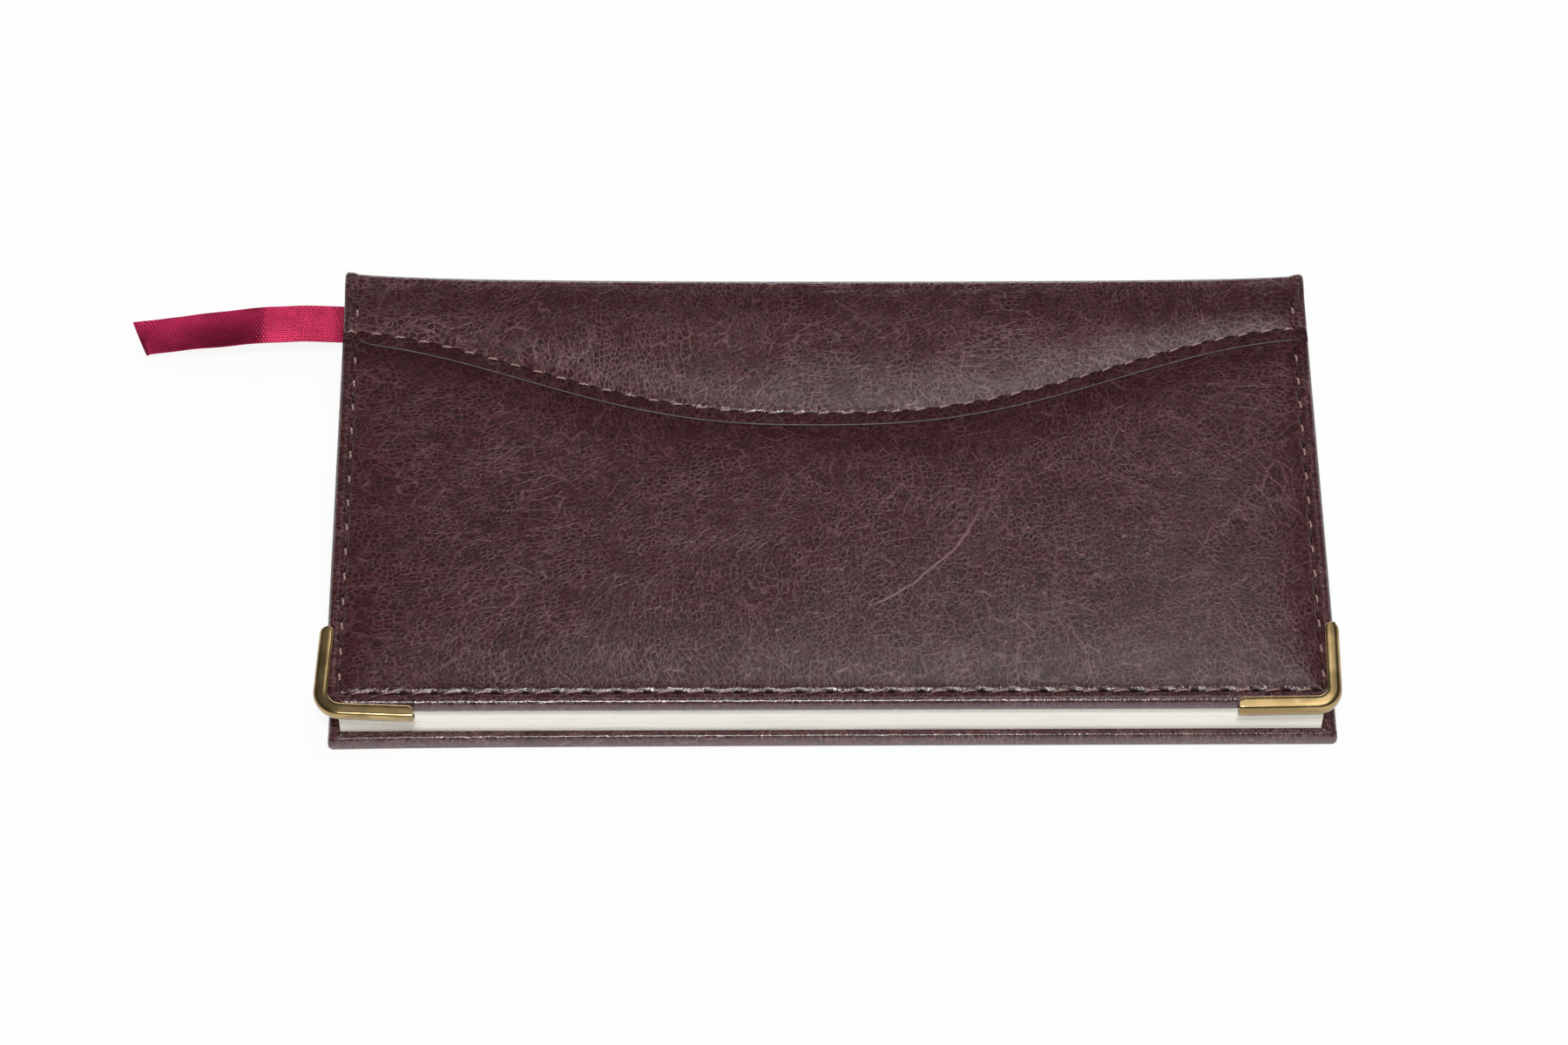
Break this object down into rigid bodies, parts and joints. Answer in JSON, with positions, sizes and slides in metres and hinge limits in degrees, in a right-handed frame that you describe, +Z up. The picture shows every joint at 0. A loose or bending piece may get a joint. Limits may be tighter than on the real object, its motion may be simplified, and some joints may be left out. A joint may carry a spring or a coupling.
{
  "type": "pocket diary",
  "caption": "Slim pocket diary with padded leatherette covers, a curved sewn yoke, brass front corners and a ribbon marker; it opens flat at the ribbon.",
  "frame": {"origin": "under the middle of the closed diary, on the face of the back cover that it lies on", "axes": "+X along the spine from tail to head, +Y from the fore-edge to the spine, +Z up through the front cover"},
  "size_m": [0.1963, 0.0868, 0.013],
  "materials": {
    "panel_leatherette": "grained, satin",
    "yoke_leatherette": "grained, satin",
    "thread": "twisted thread",
    "brass_plate": "polished, lightly tarnished",
    "paper": "uncoated",
    "endpaper": "uncoated",
    "board": "raw",
    "foam": "matt",
    "lining_cloth": "open weave",
    "ribbon": "satin"
  },
  "bodies": {
    "back": {"back_board": "board", "back_padding": "foam", "back_panel": "yoke_leatherette", "back_stitching": "thread", "back_pastedown": "endpaper", "back_flyleaf": "endpaper", "section_8": "paper", "section_7": "paper", "section_6": "paper", "section_5": "paper", "section_4": "paper", "lower_lining": "lining_cloth", "ribbon_marker": "ribbon"},
    "spine": {"spine_card_strip": "board", "spine_cover": "yoke_leatherette"},
    "front_cover": {"front_board": "board", "front_padding": "foam", "front_panel": "panel_leatherette", "yoke_panel": "yoke_leatherette", "front_stitching": "thread", "yoke_stitching": "thread", "front_pastedown": "endpaper", "corner_tail": "brass_plate", "corner_head": "brass_plate"},
    "pages_a": {"section_1": "paper", "front_flyleaf": "endpaper", "upper_lining": "lining_cloth"},
    "pages_b": {"section_2": "paper"},
    "pages_c": {"section_3": "paper"},
    "pages_d": {"opening_leaf": "paper"}
  },
  "joints": [
    {"name": "back_joint", "type": "hinge", "parent": "back", "child": "spine", "pos_m": [0, 0.04265, 0.00045], "axis": [-1, 0, 0], "range_deg": [0, 90]},
    {"name": "front_joint", "type": "hinge", "parent": "spine", "child": "front_cover", "pos_m": [0, 0.04265, 0.01255], "axis": [-1, 0, 0], "range_deg": [0, 90]},
    {"name": "turn_a", "type": "hinge", "parent": "back", "child": "pages_a", "pos_m": [0, 0.04145, 0.00732], "axis": [-1, 0, 0], "range_deg": [0, 181]},
    {"name": "turn_b", "type": "hinge", "parent": "back", "child": "pages_b", "pos_m": [0, 0.04145, 0.00732], "axis": [-1, 0, 0], "range_deg": [0, 179]},
    {"name": "turn_c", "type": "hinge", "parent": "back", "child": "pages_c", "pos_m": [0, 0.04145, 0.00732], "axis": [-1, 0, 0], "range_deg": [0, 176]},
    {"name": "turn_d", "type": "hinge", "parent": "back", "child": "pages_d", "pos_m": [0, 0.04145, 0.00732], "axis": [-1, 0, 0], "range_deg": [0, 113]}
  ],
  "couplings": [
    {"joint": "back_joint", "follows": "front_joint", "ratio": 1},
    {"joint": "turn_a", "follows": "front_joint", "ratio": 2.01},
    {"joint": "turn_b", "follows": "front_joint", "ratio": 1.98},
    {"joint": "turn_c", "follows": "front_joint", "ratio": 1.95},
    {"joint": "turn_d", "follows": "front_joint", "ratio": 1.25}
  ]
}
